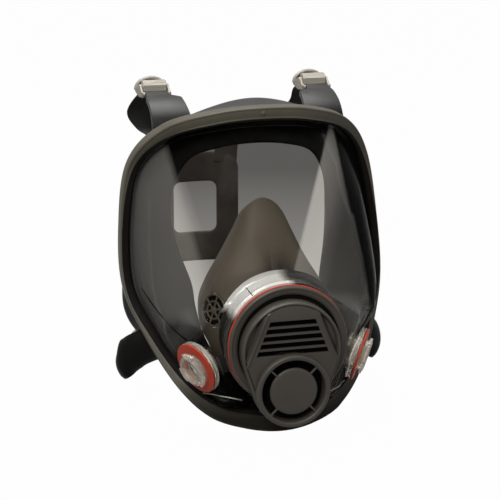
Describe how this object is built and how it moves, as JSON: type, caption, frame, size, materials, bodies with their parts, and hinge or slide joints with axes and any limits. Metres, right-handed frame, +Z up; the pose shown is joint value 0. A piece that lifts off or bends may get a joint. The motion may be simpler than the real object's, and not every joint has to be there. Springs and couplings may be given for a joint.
{
  "type": "full face respirator",
  "caption": "Reusable full face mask with a wrap-round clear lens, rubber seal, nose cup, centre exhalation port, side bayonet filter ports and a buckled strap head harness.",
  "frame": {"origin": "middle of the face opening, in the mask's mirror plane, where the wearer's face sits", "axes": "+X towards the wearer's left, +Y from the lens back to the head, +Z up"},
  "size_m": [0.1982, 0.3021, 0.2294],
  "materials": {
    "frame": "satin olive grey",
    "lens": "clear polished",
    "seal": "matt dark grey",
    "cup": "matt brown grey",
    "valve": "soft translucent",
    "clear": "clear, slightly milky",
    "gasket": "matt red",
    "cover": "fine satin charcoal",
    "harness": "matt black-brown",
    "nickel": "nickel plate"
  },
  "bodies": {
    "mask": {"lens_frame": "frame", "lens": "lens", "face_seal": "seal", "nose_cup": "cup", "left_cup_valve_seat": "cup", "right_cup_valve_seat": "cup", "centre_adapter": "clear", "adapter_lock_ring": "clear", "centre_gasket": "gasket", "front_cover": "cover", "speech_diaphragm": "clear", "exhalation_valve_seat": "clear", "left_port_body": "clear", "right_port_body": "clear", "left_port_gasket": "gasket", "right_port_gasket": "gasket", "head_harness": "harness"},
    "exhalation_valve": {"exhalation_valve": "valve"},
    "left_inhalation_valve": {"left_inhalation_valve": "valve"},
    "left_cup_valve": {"left_cup_valve": "valve"},
    "right_inhalation_valve": {"right_inhalation_valve": "valve"},
    "right_cup_valve": {"right_cup_valve": "valve"},
    "upper_left_buckle": {"upper_left_buckle_frame": "nickel"},
    "upper_left_roller": {"upper_left_buckle_roller": "nickel"},
    "lower_left_buckle": {"lower_left_buckle_frame": "nickel"},
    "lower_left_roller": {"lower_left_buckle_roller": "nickel"},
    "upper_right_buckle": {"upper_right_buckle_frame": "nickel"},
    "upper_right_roller": {"upper_right_buckle_roller": "nickel"},
    "lower_right_buckle": {"lower_right_buckle_frame": "nickel"},
    "lower_right_roller": {"lower_right_buckle_roller": "nickel"}
  },
  "joints": [
    {"name": "exhalation_valve_lift", "type": "slide", "parent": "mask", "child": "exhalation_valve", "axis": [0, -1, 0], "range_m": [0, 0.002], "stiffness_N_per_m": 30},
    {"name": "left_inhalation_valve_lift", "type": "slide", "parent": "mask", "child": "left_inhalation_valve", "axis": [-0.8527, 0.4338, 0.2912], "range_m": [0, 0.0015], "stiffness_N_per_m": 30},
    {"name": "left_cup_valve_lift", "type": "slide", "parent": "mask", "child": "left_cup_valve", "axis": [-0.8419, 0.5011, -0.2004], "range_m": [0, 0.0015], "stiffness_N_per_m": 30},
    {"name": "right_inhalation_valve_lift", "type": "slide", "parent": "mask", "child": "right_inhalation_valve", "axis": [0.8527, 0.4338, 0.2912], "range_m": [0, 0.0015], "stiffness_N_per_m": 30},
    {"name": "right_cup_valve_lift", "type": "slide", "parent": "mask", "child": "right_cup_valve", "axis": [0.8419, 0.5011, -0.2004], "range_m": [0, 0.0015], "stiffness_N_per_m": 30},
    {"name": "upper_left_buckle_swing", "type": "hinge", "parent": "mask", "child": "upper_left_buckle", "pos_m": [0.057, 0.044, 0.1245], "axis": [1, 0, 0], "range_deg": [0, 15]},
    {"name": "upper_left_roller_spin", "type": "hinge", "parent": "upper_left_buckle", "child": "upper_left_roller", "pos_m": [0.057, 0.05412, 0.12765], "axis": [1, 0, 0], "continuous": true},
    {"name": "lower_left_buckle_swing", "type": "hinge", "parent": "mask", "child": "lower_left_buckle", "pos_m": [0.08, 0.033, -0.0644], "axis": [0, 0, -1], "range_deg": [0, 15]},
    {"name": "lower_left_roller_spin", "type": "hinge", "parent": "lower_left_buckle", "child": "lower_left_roller", "pos_m": [0.07913, 0.04356, -0.0644], "axis": [0, 0, -1], "continuous": true},
    {"name": "upper_right_buckle_swing", "type": "hinge", "parent": "mask", "child": "upper_right_buckle", "pos_m": [-0.057, 0.044, 0.1245], "axis": [1, 0, 0], "range_deg": [0, 15]},
    {"name": "upper_right_roller_spin", "type": "hinge", "parent": "upper_right_buckle", "child": "upper_right_roller", "pos_m": [-0.057, 0.05412, 0.12765], "axis": [1, 0, 0], "continuous": true},
    {"name": "lower_right_buckle_swing", "type": "hinge", "parent": "mask", "child": "lower_right_buckle", "pos_m": [-0.08, 0.033, -0.0644], "axis": [0, 0, 1], "range_deg": [0, 15]},
    {"name": "lower_right_roller_spin", "type": "hinge", "parent": "lower_right_buckle", "child": "lower_right_roller", "pos_m": [-0.07913, 0.04356, -0.0644], "axis": [0, 0, 1], "continuous": true}
  ]
}
